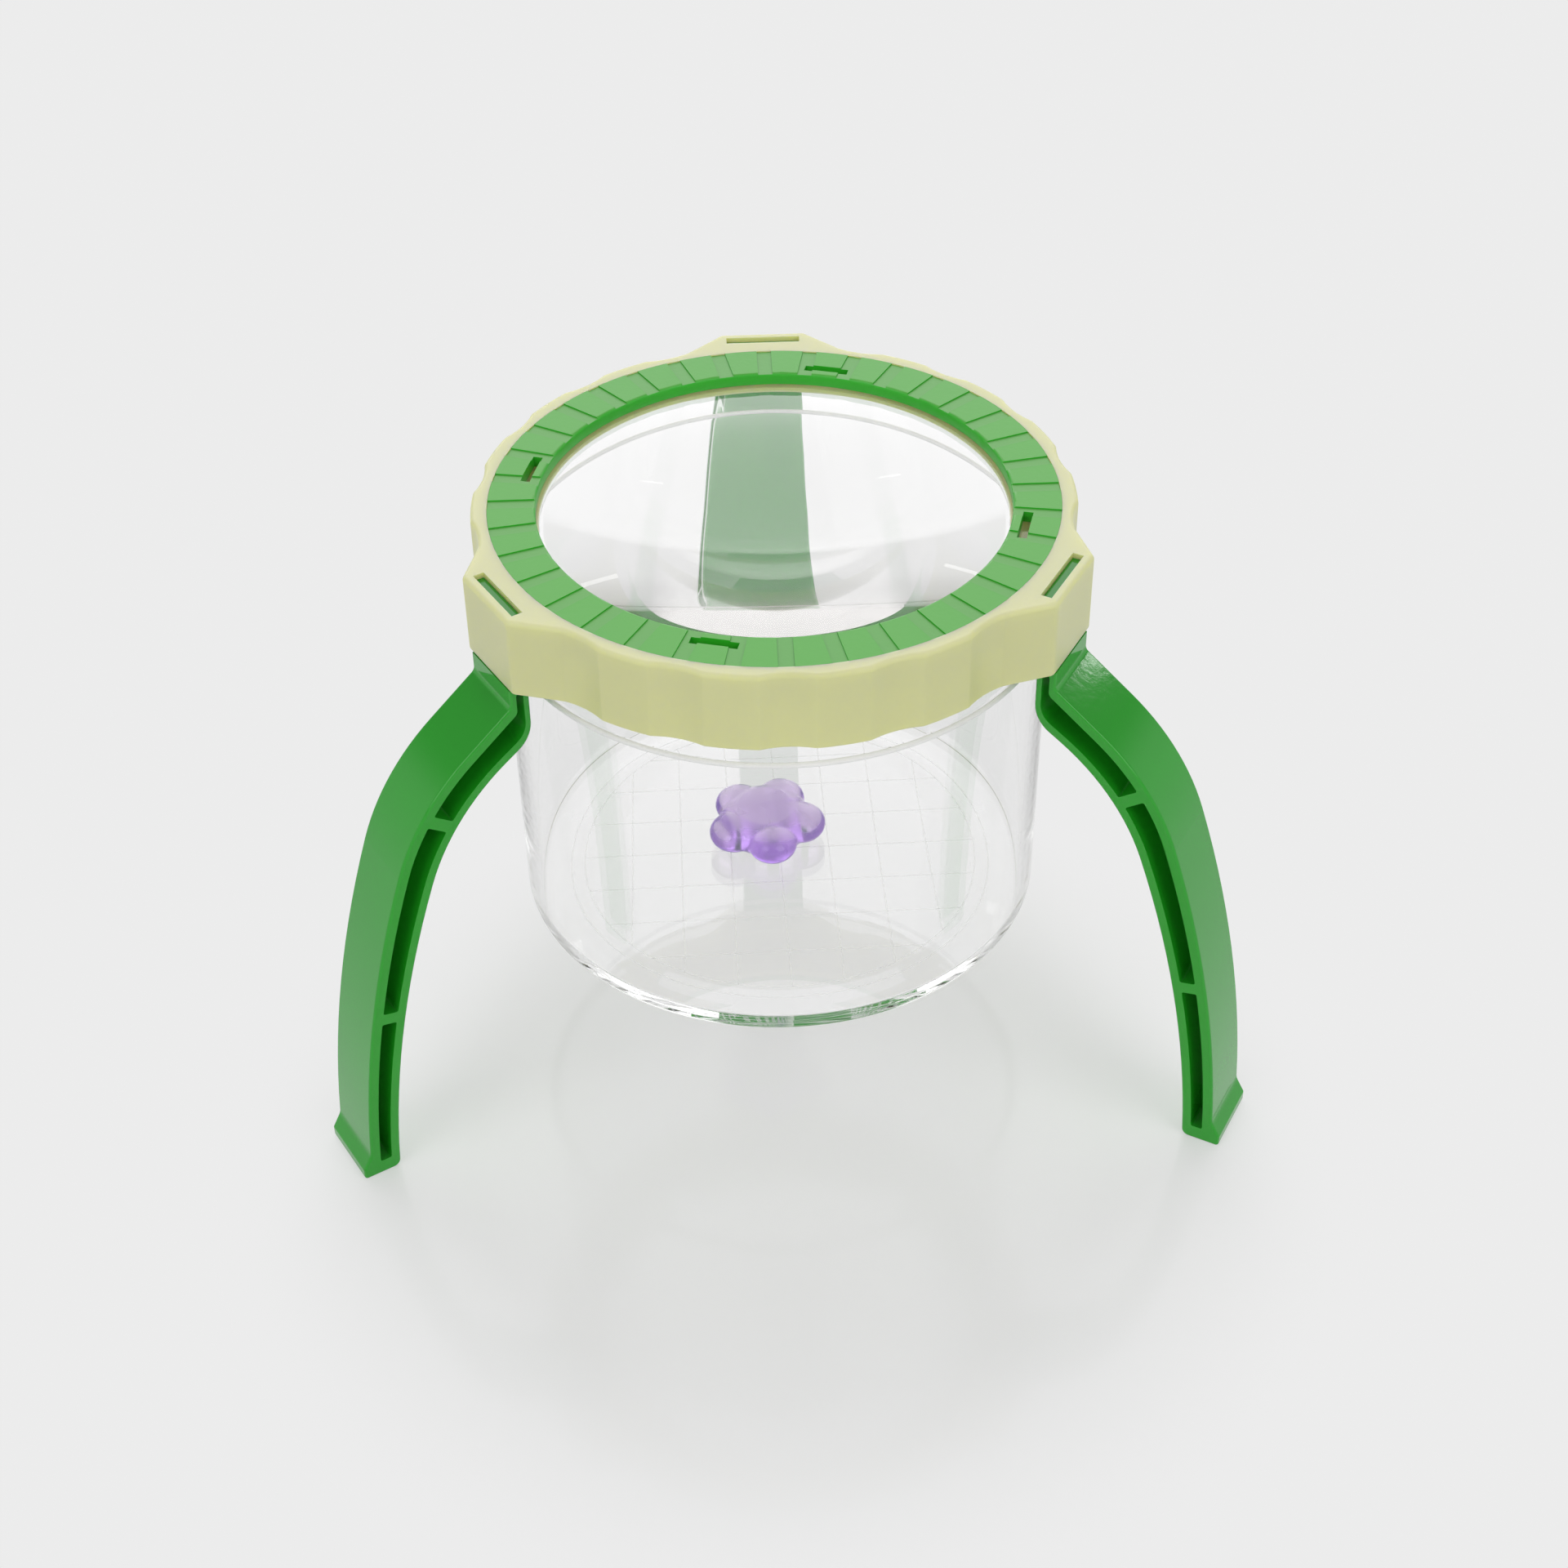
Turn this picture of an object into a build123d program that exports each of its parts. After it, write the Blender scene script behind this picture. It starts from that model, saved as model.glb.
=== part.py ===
"""Bug catcher jar: a clear jar hung in a three-legged lid that carries a magnifying lens.

Millimetres, +Z up. The origin is the centre of the jar's underside, on the jar's axis.
The rear leg points along +Y, and the feet stand below the jar.
"""

from build123d import *
from math import acos, atan2, cos, degrees, radians, sin
import os

# Jar: a drafted cup with a bead under the lid
jar_base_radius = 51.0
jar_neck_radius = 51.4
jar_height = 80.0
jar_wall = 1.9
jar_floor = 2.4
jar_floor_round = 2.6
jar_heel_round = 0.7
jar_rim_round = 0.4
bead_drop = 5.4
bead_radius = 0.8
foot_ring_radius = 41.7
foot_ring_step = 0.6

# Lid: ledge, lens and bezel ring are stacked on the jar's rim inside the collar
thread_room = 1.3
skirt_wall = 2.7
seat_wall = 3.0
collar_height = 15.6
collar_top_round = 0.9
collar_bottom_round = 0.4
ledge_thickness = 1.5
lens_edge = 2.0
bezel_thickness = 2.4
lid_gap = 0.3

# Grip scallops between the lobes
lobe_count = 3
scallop_pitch = 20.0
scallop_width = 10.0
scallop_depth = 0.9
outline_round = 1.5
outline_blend = 3.0

# Lobes, and the slots in them for the legs' tabs
lobe_rise = 4.2
lobe_width = 16.6
lobe_flare = 46.0
lobe_depth = 12.0
slot_wall = 1.7
tab_thickness = 1.9
tab_width = 14.3
tab_recess = 1.0
tab_gap = 0.1

# Lens: two shallow caps on a flat rim
lens_margin = 0.7
lens_upper_rise = 3.0
lens_lower_drop = 3.0

# Bezel ring: raised tiles between radial grooves, and windows for its hooks
bezel_width = 8.5
bezel_round = 0.6
tile_count = 36
groove_width = 2.8
groove_depth = 0.3
hook_count = 4
hook_angle = 75.0
hook_inset = 2.6
hook_length = 8.5
hook_width = 1.8

# Leg: a post under the lobe, a sloping hip, a bent knee and a long shin
leg_width = 14.5
post_thickness = 3.8
post_length = 3.85
armpit_drop = 11.7
stance_drop = 31.5
hip_slope = 36.8
hip_length = 11.9
knee_radius = 45.4
knee_turn = 33.3
shin_radius = 230.0
under_hip_slope = 32.8
under_hip_length = 6.4
under_knee_radius = 43.1
under_knee_turn = 36.1
under_shin_radius = 215.0
armpit_round = 6.5
cove_round = 1.5
heel_round = 1.5
leg_edge_round = 0.5
toe_height = 5.5
toe_reach = 1.8
toe_lip = 2.4
toe_round = 0.6
toe_cove_round = 3.0

# Pockets cored into both sides of a leg, down to a web in the middle
flange = 1.9
post_flange = 1.2
web = 2.5
pocket_top = 1.2
pocket_sole = 3.2
rib_thickness = 2.4
knee_rib_place = 0.52
shin_rib_place = 0.47
rib_span = 24.0
pocket_round = 0.4

# Flower lying in the jar, one petal towards the front
petal_count = 5
petal_radius = 5.3
petal_ring_radius = 7.0
petal_round = 3.5
flower_thickness = 7.5
flower_heart = 6.5
flower_left = 2.7
flower_back = 3.6
flower_turn = 9.0

# Heights and radii that follow from the sizes above
ledge_top = jar_height + ledge_thickness
lens_top = ledge_top + lens_edge
collar_top = lens_top + bezel_thickness
collar_bottom = collar_top - collar_height
bead_height = collar_bottom - bead_drop
skirt_radius = jar_neck_radius + thread_room
collar_radius = skirt_radius + skirt_wall
seat_radius = collar_radius - seat_wall
ring_radius = seat_radius - lid_gap
window_radius = ring_radius - bezel_width
lens_dome_radius = window_radius - lens_margin
ledge_radius = lens_dome_radius + lid_gap
hook_radius = window_radius + hook_inset
lobe_reach = collar_radius + lobe_rise
slot_thickness = tab_thickness + 2 * tab_gap
slot_radius = lobe_reach - slot_wall - slot_thickness
post_inner = slot_radius + tab_gap
post_outer = post_inner + post_thickness
ground = -stance_drop
leg_angles = {"leg_rear": 90, "leg_left": 210, "leg_right": 330}


def save(part, name):
    """Label a finished piece and write it as its own STEP file."""
    part.label = name
    export_step(part, f"parts/{name}.step")


def nearest_corner(sketch, place):
    """The corner of a sketch that lies nearest to a place on its plane."""
    return sketch.vertices().sort_by_distance(place)[0]


os.makedirs("parts", exist_ok=True)

# Jar
inner_base = jar_base_radius - jar_wall
inner_neck = jar_neck_radius - jar_wall
with BuildPart() as jar:
    with BuildSketch(Plane.XZ) as cup:
        with BuildLine():
            Polyline(
                (0, foot_ring_step),
                (foot_ring_radius, foot_ring_step),
                (foot_ring_radius + foot_ring_step, 0),
                (jar_base_radius, 0),
                (jar_neck_radius, bead_height),
                (jar_neck_radius, jar_height),
                (inner_neck, jar_height),
                (inner_neck, bead_height),
                (inner_base, jar_floor),
                (0, jar_floor),
                close=True,
            )
        make_face()
        fillet(nearest_corner(cup, (jar_base_radius, 0)), jar_heel_round)
        fillet(nearest_corner(cup, (inner_base, jar_floor)), jar_floor_round)
        fillet(nearest_corner(cup, (jar_neck_radius, jar_height)), jar_rim_round)
        fillet(nearest_corner(cup, (inner_neck, jar_height)), jar_rim_round)
        with Locations((jar_neck_radius, bead_height)):
            Circle(bead_radius)
    revolve(axis=Axis.Z)
save(jar.part, "jar")

# Collar: the grip outline is drawn whole, then the inside is turned out of it
half_scallop = radians(scallop_width / 2)
chord = collar_radius * sin(half_scallop)
sagitta = scallop_depth - collar_radius * (1 - cos(half_scallop))
cutter_radius = (chord**2 + sagitta**2) / (2 * sagitta)
cutter_place = collar_radius - scallop_depth + cutter_radius
scallop_count = round(360 / scallop_pitch)
lobe_root = lobe_width + 2 * lobe_depth * sin(radians(lobe_flare)) / cos(radians(lobe_flare))
with BuildPart() as collar:
    with BuildSketch(Plane.XY.offset(collar_bottom)) as grip:
        Circle(collar_radius)
        with PolarLocations(cutter_place, scallop_count, start_angle=90):
            Circle(cutter_radius, mode=Mode.SUBTRACT)
        with PolarLocations(lobe_reach - lobe_depth, lobe_count, start_angle=90):
            Polygon(
                (0, -lobe_root / 2),
                (lobe_depth, -lobe_width / 2),
                (lobe_depth, lobe_width / 2),
                (0, lobe_root / 2),
                align=None,
            )
        offset(amount=outline_blend, kind=Kind.ARC)
        offset(amount=-outline_blend - outline_round, kind=Kind.ARC)
        offset(amount=outline_round, kind=Kind.ARC)
    extrude(amount=collar_height)
    fillet(collar.faces().sort_by(Axis.Z)[-1].edges(), collar_top_round)
    fillet(collar.faces().sort_by(Axis.Z)[0].edges(), collar_bottom_round)
    with BuildSketch(Plane.XZ):
        with BuildLine():
            Polyline(
                (0, collar_bottom),
                (skirt_radius, collar_bottom),
                (skirt_radius, jar_height),
                (ledge_radius, jar_height),
                (ledge_radius, ledge_top),
                (seat_radius, ledge_top),
                (seat_radius, collar_top),
                (0, collar_top),
                close=True,
            )
        make_face()
    revolve(axis=Axis.Z, mode=Mode.SUBTRACT)
    with BuildSketch(Plane.XY.offset(collar_bottom)):
        with PolarLocations(slot_radius + slot_thickness / 2, lobe_count, start_angle=90):
            Rectangle(slot_thickness, tab_width + 2 * tab_gap)
    extrude(amount=collar_height, mode=Mode.SUBTRACT)
save(collar.part, "collar")


# Lens
def cap_radius(rise):
    """Radius of the sphere whose cap rises this much over the lens's clear width."""
    return (lens_dome_radius**2 + rise**2) / (2 * rise)


with BuildPart() as lens:
    with BuildSketch(Plane.XZ):
        with BuildLine():
            crown = (0, lens_top + lens_upper_rise)
            belly = (0, ledge_top - lens_lower_drop)
            RadiusArc(crown, (lens_dome_radius, lens_top), cap_radius(lens_upper_rise))
            Polyline(
                (lens_dome_radius, lens_top),
                (ring_radius, lens_top),
                (ring_radius, ledge_top),
                (lens_dome_radius, ledge_top),
            )
            RadiusArc((lens_dome_radius, ledge_top), belly, cap_radius(lens_lower_drop))
            Line(belly, crown)
        make_face()
    revolve(axis=Axis.Z)
save(lens.part, "lens")

# Bezel ring
with BuildPart() as bezel_ring:
    with BuildSketch(Plane.XY.offset(lens_top)):
        Circle(ring_radius)
        Circle(window_radius, mode=Mode.SUBTRACT)
    extrude(amount=bezel_thickness)
    top_edges = bezel_ring.faces().sort_by(Axis.Z)[-1].edges()
    fillet(top_edges.sort_by(SortBy.RADIUS)[0], bezel_round)
    with BuildSketch(Plane.XY.offset(collar_top)):
        with PolarLocations(window_radius + bezel_width / 2, tile_count, start_angle=90):
            Rectangle(2 * bezel_width, groove_width)
    extrude(amount=-groove_depth, mode=Mode.SUBTRACT)
    with BuildSketch(Plane.XY.offset(lens_top)):
        with PolarLocations(hook_radius, hook_count, start_angle=hook_angle):
            Rectangle(hook_width, hook_length)
    extrude(amount=bezel_thickness, mode=Mode.SUBTRACT)
save(bezel_ring.part, "bezel_ring")


# Legs: the same outline, drawn at two depths, gives the skin and the pockets
def arc_turn(slope, radius, drop):
    """Turn, in degrees, that takes an arc starting at this downward slope down by drop."""
    return degrees(acos(cos(radians(slope)) - drop / radius)) - slope


def leg_front(skin, post_skin, low):
    """Outer edge of the leg below its cove, held back from its surface by skin."""
    across, down = cos(radians(hip_slope)), sin(radians(hip_slope))
    cove_height = collar_bottom - post_length
    run = (skin * down - post_skin) / across
    cove = (post_outer - post_skin, cove_height - skin * across - run * down)
    hip_end = (
        post_outer + hip_length * across - skin * down,
        cove_height - hip_length * down - skin * across,
    )
    hip = Line(cove, hip_end)
    knee = JernArc(hip_end, (across, -down), knee_radius - skin, -knee_turn)
    slope = hip_slope + knee_turn
    turn = arc_turn(slope, shin_radius - skin, (knee @ 1).Y - low)
    shin = JernArc(knee @ 1, knee % 1, shin_radius - skin, -turn)
    return hip, knee, shin


def leg_back(skin, post_skin, low):
    """Inner edge of the leg below its armpit, held back from its surface by skin."""
    across, down = cos(radians(under_hip_slope)), sin(radians(under_hip_slope))
    armpit_height = collar_bottom - armpit_drop
    run = (post_skin - skin * down) / across
    armpit = (post_inner + post_skin, armpit_height + skin * across - run * down)
    hip_end = (
        post_inner + under_hip_length * across + skin * down,
        armpit_height - under_hip_length * down + skin * across,
    )
    hip = Line(armpit, hip_end)
    knee = JernArc(hip_end, (across, -down), under_knee_radius + skin, -under_knee_turn)
    slope = under_hip_slope + under_knee_turn
    turn = arc_turn(slope, under_shin_radius + skin, (knee @ 1).Y - low)
    shin = JernArc(knee @ 1, knee % 1, under_shin_radius + skin, -turn)
    return hip, knee, shin


with BuildSketch(Plane.XZ) as leg_side:
    with BuildLine():
        front_hip, front_knee, front_shin = leg_front(0, 0, ground + toe_height)
        back_hip, back_knee, back_shin = leg_back(0, 0, ground)
        toe_tip = (front_shin @ 1).X + toe_reach
        Polyline(
            front_shin @ 1,
            (toe_tip, ground + toe_lip),
            (toe_tip, ground),
            back_shin @ 1,
        )
        Polyline(
            front_hip @ 0,
            (post_outer, collar_bottom),
            (post_inner, collar_bottom),
            back_hip @ 0,
        )
    make_face()
    fillet(nearest_corner(leg_side, front_hip @ 0), cove_round)
    fillet(nearest_corner(leg_side, back_hip @ 0), armpit_round)
    fillet(nearest_corner(leg_side, back_shin @ 1), heel_round)
    fillet(nearest_corner(leg_side, (toe_tip, ground + toe_lip)), toe_round)
    fillet(nearest_corner(leg_side, (toe_tip, ground)), toe_round)
    fillet(nearest_corner(leg_side, front_shin @ 1), toe_cove_round)

with BuildSketch(Plane.XZ) as leg_pockets:
    with BuildLine():
        front_hip, front_knee, front_shin = leg_front(flange, post_flange, ground + pocket_sole)
        back_hip, back_knee, back_shin = leg_back(flange, post_flange, ground + pocket_sole)
        Line(front_shin @ 1, back_shin @ 1)
        Polyline(
            front_hip @ 0,
            (post_outer - post_flange, collar_bottom - pocket_top),
            (post_inner + post_flange, collar_bottom - pocket_top),
            back_hip @ 0,
        )
    make_face()
    fillet(nearest_corner(leg_pockets, front_hip @ 0), cove_round)
    fillet(nearest_corner(leg_pockets, back_hip @ 0), armpit_round - flange)
    for curve, place in ((front_knee, knee_rib_place), (front_shin, shin_rib_place)):
        heading = curve % place
        with Locations(curve @ place):
            Rectangle(
                rib_thickness,
                rib_span,
                rotation=degrees(atan2(heading.Y, heading.X)),
                mode=Mode.SUBTRACT,
            )
    offset(amount=-pocket_round, kind=Kind.ARC)
    offset(amount=pocket_round, kind=Kind.ARC)

with BuildPart() as leg:
    with BuildSketch(Plane.XZ.offset(-leg_width / 2)):
        add(leg_side.sketch_local)
    extrude(amount=leg_width)
    fillet(leg.faces().filter_by(Axis.Y).edges(), leg_edge_round)
    for side in (1, -1):
        with BuildSketch(Plane.XZ.offset(side * web / 2)):
            add(leg_pockets.sketch_local)
        extrude(amount=side * leg_width / 2, mode=Mode.SUBTRACT)
    with BuildSketch(Plane.XY.offset(collar_bottom - pocket_top)):
        with Locations((post_inner + tab_thickness / 2, 0)):
            Rectangle(tab_thickness, tab_width)
    extrude(amount=collar_height + pocket_top - tab_recess)
for name, angle in leg_angles.items():
    save(leg.part.rotate(Axis.Z, angle), name)

# Flower
with BuildPart() as petal:
    Cylinder(petal_radius, flower_thickness, align=(Align.CENTER, Align.CENTER, Align.MIN))
    fillet(petal.edges().filter_by(GeomType.CIRCLE), petal_round)
with BuildPart() as flower:
    with Locations((-flower_left, flower_back, jar_floor)):
        Cylinder(
            petal_ring_radius,
            flower_heart,
            align=(Align.CENTER, Align.CENTER, Align.MIN),
        )
        with PolarLocations(petal_ring_radius, petal_count, start_angle=flower_turn - 90):
            add(petal.part)
save(flower.part, "flower")
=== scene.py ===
# %% [markdown]
# # Bug catcher jar
# A clear cup hangs in a pale lid ring on three green legs, and a magnifier lies in the lid.
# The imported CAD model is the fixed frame: every piece below is placed in its coordinates,
# in metres, with the origin under the middle of the cup and +Z up.

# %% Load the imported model
from math import atan2, cos, pi, radians, sin, sqrt, tan

import bmesh
import bpy
from mathutils import Matrix, Vector


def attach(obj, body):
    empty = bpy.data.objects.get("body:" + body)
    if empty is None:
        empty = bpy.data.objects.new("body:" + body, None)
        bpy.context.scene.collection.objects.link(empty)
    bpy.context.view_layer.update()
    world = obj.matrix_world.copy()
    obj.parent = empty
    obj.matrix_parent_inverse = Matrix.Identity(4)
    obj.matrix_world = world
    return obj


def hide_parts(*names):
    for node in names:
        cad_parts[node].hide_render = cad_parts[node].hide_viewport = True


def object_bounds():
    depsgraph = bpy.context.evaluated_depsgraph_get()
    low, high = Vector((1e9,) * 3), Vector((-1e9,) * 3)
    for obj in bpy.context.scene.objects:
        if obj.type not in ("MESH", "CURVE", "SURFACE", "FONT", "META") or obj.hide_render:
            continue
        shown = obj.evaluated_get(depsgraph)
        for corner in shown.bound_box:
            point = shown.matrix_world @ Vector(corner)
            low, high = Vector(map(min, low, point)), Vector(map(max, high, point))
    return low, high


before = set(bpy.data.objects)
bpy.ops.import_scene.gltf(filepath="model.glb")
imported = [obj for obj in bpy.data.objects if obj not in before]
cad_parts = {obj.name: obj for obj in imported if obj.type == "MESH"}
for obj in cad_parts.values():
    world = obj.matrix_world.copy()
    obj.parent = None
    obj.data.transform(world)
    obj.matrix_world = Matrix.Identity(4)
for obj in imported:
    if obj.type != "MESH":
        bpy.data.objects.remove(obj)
cad_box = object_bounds()
MM = 0.001
scene = bpy.context.scene
scene.view_settings.view_transform = "Standard"
ground = cad_box[0].z
print("CAD box in mm:", [[round(v / MM, 1) for v in corner] for corner in cad_box])

# %% [markdown]
# ## Camera
# The grid in the cup's floor, the rings and the feet fix where the photograph was taken from.
# The camera looks down by 39 degrees from half a metre away, and is rolled by under a degree.

# %% Place the camera
CAMERA_SPOT = Vector((-12.6, -400.9, 345.7)) * MM
CAMERA_AIM = Vector((1.05, 0.0, 17.8)) * MM
CAMERA_ROLL = radians(-0.8)
CAMERA_FOCAL = 59.74
SENSOR_WIDTH = 36.0
NEAREST_SIGHT = 0.01


def aim_camera(name, spot, aim, focal, roll):
    """A camera at spot that looks at aim, turned about its own line of sight by roll."""
    forward = (aim - spot).normalized()
    right = forward.cross(Vector((0, 0, 1))).normalized()
    up = right.cross(forward)
    rolled_right = right * cos(roll) + up * sin(roll)
    rolled_up = up * cos(roll) - right * sin(roll)
    data = bpy.data.cameras.new(name)
    data.sensor_fit = "HORIZONTAL"
    data.sensor_width = SENSOR_WIDTH
    data.lens = focal
    data.clip_start = NEAREST_SIGHT
    camera = bpy.data.objects.new(name, data)
    attitude = Matrix((rolled_right, rolled_up, -forward)).transposed().to_4x4()
    camera.matrix_world = Matrix.Translation(spot) @ attitude
    scene.collection.objects.link(camera)
    return camera


scene.camera = aim_camera("photo_camera", CAMERA_SPOT, CAMERA_AIM, CAMERA_FOCAL, CAMERA_ROLL)
print("camera", [round(v, 3) for v in scene.camera.location])

# %% [markdown]
# ## Helpers for materials
# Every finish is a small tree of nodes. These helpers make and join the nodes, so that each finish
# below reads as a list of what it is made of.

# %% Material helpers
MIX_SHARE, MIX_FIRST, MIX_SECOND, MIX_COLOUR = 0, 6, 7, 2


def new_material(name):
    """An empty node material, its tree and its output node."""
    material = bpy.data.materials.new(name)
    material.use_nodes = True
    tree = material.node_tree
    tree.nodes.clear()
    output = tree.nodes.new("ShaderNodeOutputMaterial")
    return material, tree, output


def node_of(material, kind):
    """The one node of this kind in a material."""
    return next(node for node in material.node_tree.nodes if node.type == kind)


def add_node(tree, kind, **values):
    """A node whose inputs named in values are set, with underscores for blanks."""
    node = tree.nodes.new(kind)
    for name, value in values.items():
        node.inputs[name.replace("_", " ")].default_value = value
    return node


def feed(tree, value, socket):
    """Join another node's output to a socket, or set the socket to a plain value."""
    if isinstance(value, bpy.types.NodeSocket):
        tree.links.new(value, socket)
    else:
        socket.default_value = value


def add_math(tree, operation, first, second):
    """A Math node on two values, each a number or another node's output."""
    node = tree.nodes.new("ShaderNodeMath")
    node.operation = operation
    feed(tree, first, node.inputs[0])
    feed(tree, second, node.inputs[1])
    return node.outputs[0]


def soft_step(tree, value, low, high, top=1.0):
    """Rises softly from 0 where value is low to top where it is high."""
    ramp = add_node(tree, "ShaderNodeMapRange", From_Min=low, From_Max=high, To_Max=top)
    ramp.interpolation_type = "SMOOTHSTEP"
    tree.links.new(value, ramp.inputs["Value"])
    return ramp.outputs["Result"]


def mix_colours(tree, share, first, second):
    """The first colour where share is 0 and the second where it is 1."""
    mix = tree.nodes.new("ShaderNodeMix")
    mix.data_type = "RGBA"
    feed(tree, share, mix.inputs[MIX_SHARE])
    feed(tree, first, mix.inputs[MIX_FIRST])
    feed(tree, second, mix.inputs[MIX_SECOND])
    return mix.outputs[MIX_COLOUR]


def mix_shaders(tree, share, first, second):
    """The first shader where share is 0 and the second where it is 1."""
    mix = tree.nodes.new("ShaderNodeMixShader")
    tree.links.new(share, mix.inputs["Fac"])
    tree.links.new(first, mix.inputs[1])
    tree.links.new(second, mix.inputs[2])
    return mix.outputs["Shader"]


print("helpers ready")

# %% [markdown]
# ## Table
# The jar stands on a pale, faintly glossy table that takes a soft shadow and a faint mirror image.
# Product photographs are cut out there, so away from the jar the table fades into one flat shade.
# Through clear plastic the shadow shows less, the flat shade is painted a little dimmer, and a
# painted pool of light lightens the patch behind the jar that the lens shows. One wide square is
# enough, since nothing of its edge is seen.

# %% Table
FLOOR_SIZE = 12.0
FLOOR_SHADE = 0.78
FLOOR_ROUGHNESS = 0.1
FLOOR_SHINE = 0.25
BACKDROP_SHADE = 0.84
SHADOW_MIDDLE = Vector((0.0, -0.05, ground))
SHADOW_CORE = 0.05
SHADOW_EDGE = 0.112
SHADOW_SOFTENING = 0.1
THROUGH_CUP = 0.72
GLASS_DIMMING = 0.07
LENS_SPOT = Vector((0.0, 0.18, ground))
LENS_SPOT_CORE = 0.06
LENS_SPOT_EDGE = 0.13
LENS_LIFT = 0.1


def distance_from(tree, place, spot):
    """How far the surface is from a spot."""
    away = tree.nodes.new("ShaderNodeVectorMath")
    away.operation = "DISTANCE"
    away.inputs[1].default_value = spot
    tree.links.new(place.outputs["Object"], away.inputs[0])
    return away.outputs["Value"]


floor_material, tree, output = new_material("pale_table")
skin = add_node(
    tree,
    "ShaderNodeBsdfPrincipled",
    Base_Color=(FLOOR_SHADE, FLOOR_SHADE, FLOOR_SHADE, 1),
    Roughness=FLOOR_ROUGHNESS,
    Specular_IOR_Level=FLOOR_SHINE,
)
flat = add_node(tree, "ShaderNodeEmission", Color=(1, 1, 1, 1))
place = tree.nodes.new("ShaderNodeTexCoord")
from_shadow = distance_from(tree, place, SHADOW_MIDDLE)
faded = soft_step(tree, from_shadow, SHADOW_CORE, SHADOW_EDGE)
# A painted pool of light: seen through clear plastic, the patch behind the jar that the lens shows is
# lighter.
from_lens_spot = distance_from(tree, place, LENS_SPOT)
beside_spot = soft_step(tree, from_lens_spot, LENS_SPOT_CORE, LENS_SPOT_EDGE, LENS_LIFT)
glass_change = add_math(tree, "ADD", beside_spot, GLASS_DIMMING - LENS_LIFT)
rays = tree.nodes.new("ShaderNodeLightPath").outputs
mirrored = add_math(tree, "MAXIMUM", rays["Is Glossy Ray"], rays["Is Transmission Ray"])
looked_at = add_math(tree, "MAXIMUM", rays["Is Camera Ray"], mirrored)
# Seen through clear plastic, the flat shade is painted dimmer, except in that patch.
dimmed = add_math(tree, "MULTIPLY", rays["Is Transmission Ray"], glass_change)
tree.links.new(add_math(tree, "SUBTRACT", BACKDROP_SHADE, dimmed), flat.inputs["Strength"])
through = add_math(tree, "MULTIPLY", rays["Is Transmission Ray"], THROUGH_CUP)
softened = add_math(tree, "MAXIMUM", faded, add_math(tree, "ADD", through, SHADOW_SOFTENING))
share = add_math(tree, "MULTIPLY", softened, looked_at)
surface = mix_shaders(tree, share, skin.outputs[0], flat.outputs[0])
tree.links.new(surface, output.inputs["Surface"])
half = FLOOR_SIZE / 2
floor_mesh = bpy.data.meshes.new("table_top")
floor_mesh.from_pydata(
    [(x * half, y * half, ground) for x, y in ((-1, -1), (1, -1), (1, 1), (-1, 1))],
    [],
    [(0, 1, 2, 3)],
)
floor_mesh.materials.append(floor_material)
table_top = bpy.data.objects.new("table_top", floor_mesh)
scene.collection.objects.link(table_top)
print("table at", round(ground / MM, 2), "mm")

# %% [markdown]
# ## Room and lamps
# Clear plastic only shows what is around it, so the room matters as much as the shapes.
# The walls are as pale as the table and the ceiling is dimmer, which keeps the tops of the legs
# deep green. A wide soft glow behind, like a lit diffuser, whitens the lens and the ring. The camera
# itself sees one flat shade there, so that low views have no horizon. Two lamps in front light the
# lid's face, and three small ones make the glints on the lens and on the right leg's hip.
# Light caught inside the clear pieces needs many bounces to find its way out.

# %% Room
WALL_SHADE = 0.84
CEILING_SHADE = 0.4
WALL_TOP = 0.17
CEILING_START = 0.42
GLOW_SHADE = 1.4
GLOW_WAY = Vector((0.0, 0.78, 0.62)).normalized()
GLOW_CORE = cos(radians(26))
GLOW_EDGE = cos(radians(42))
BOUNCES = 48
world = bpy.data.worlds.new("pale_room")
world.use_nodes = True
scene.world = world
tree = world.node_tree
tree.nodes.clear()
output = tree.nodes.new("ShaderNodeOutputWorld")
heading = tree.nodes.new("ShaderNodeTexCoord")
parts = tree.nodes.new("ShaderNodeSeparateXYZ")
tree.links.new(heading.outputs["Generated"], parts.inputs[0])
dimming = soft_step(tree, parts.outputs["Z"], WALL_TOP, CEILING_START, WALL_SHADE - CEILING_SHADE)
walls = add_math(tree, "SUBTRACT", WALL_SHADE, dimming)
facing = tree.nodes.new("ShaderNodeVectorMath")
facing.operation = "DOT_PRODUCT"
facing.inputs[1].default_value = GLOW_WAY
tree.links.new(heading.outputs["Generated"], facing.inputs[0])
glow = soft_step(tree, facing.outputs["Value"], GLOW_EDGE, GLOW_CORE, GLOW_SHADE)
room = add_node(tree, "ShaderNodeBackground", Color=(1, 1, 1, 1))
rays = tree.nodes.new("ShaderNodeLightPath").outputs
seen = add_node(tree, "ShaderNodeMix", B=BACKDROP_SHADE)
tree.links.new(rays["Is Camera Ray"], seen.inputs["Factor"])
tree.links.new(add_math(tree, "ADD", walls, glow), seen.inputs["A"])
tree.links.new(seen.outputs["Result"], room.inputs["Strength"])
tree.links.new(room.outputs[0], output.inputs["Surface"])
scene.cycles.max_bounces = BOUNCES
scene.cycles.glossy_bounces = BOUNCES
scene.cycles.transmission_bounces = BOUNCES
print("room from", CEILING_SHADE, "to", WALL_SHADE, "with a glow of", GLOW_SHADE)

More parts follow.
